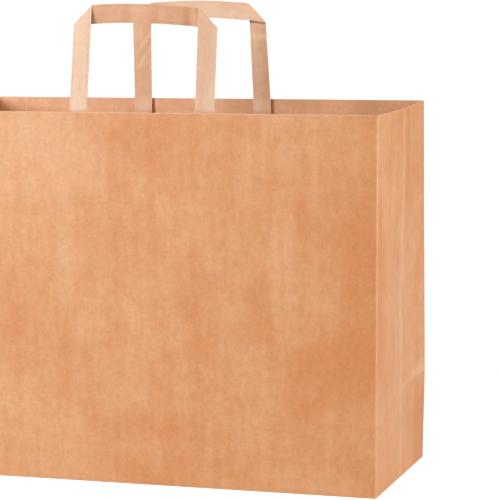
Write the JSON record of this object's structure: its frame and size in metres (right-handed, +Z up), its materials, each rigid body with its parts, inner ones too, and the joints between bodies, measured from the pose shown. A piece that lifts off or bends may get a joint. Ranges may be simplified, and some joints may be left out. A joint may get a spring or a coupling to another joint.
{
  "type": "paper carrier bag",
  "caption": "Brown kraft paper carrier bag with a block bottom, side gussets and flat folded paper handles.",
  "frame": {"origin": "middle of the base's underside, on the surface that the bag stands on", "axes": "-Y out of the front panel, +X towards the right gusset as seen from the front, +Z up to the mouth"},
  "size_m": [0.3264, 0.1253, 0.3215],
  "materials": {
    "kraft": "matt brown kraft paper with fine fibres and pale folds",
    "strap_kraft": "matt pale brown kraft paper, folded into a flat strap",
    "patch_kraft": "matt brown kraft paper"
  },
  "bodies": {
    "root": {"bag_body": "kraft", "handle_front": "strap_kraft", "handle_back": "strap_kraft", "patch_front": "patch_kraft", "patch_back": "patch_kraft"}
  },
  "joints": []
}
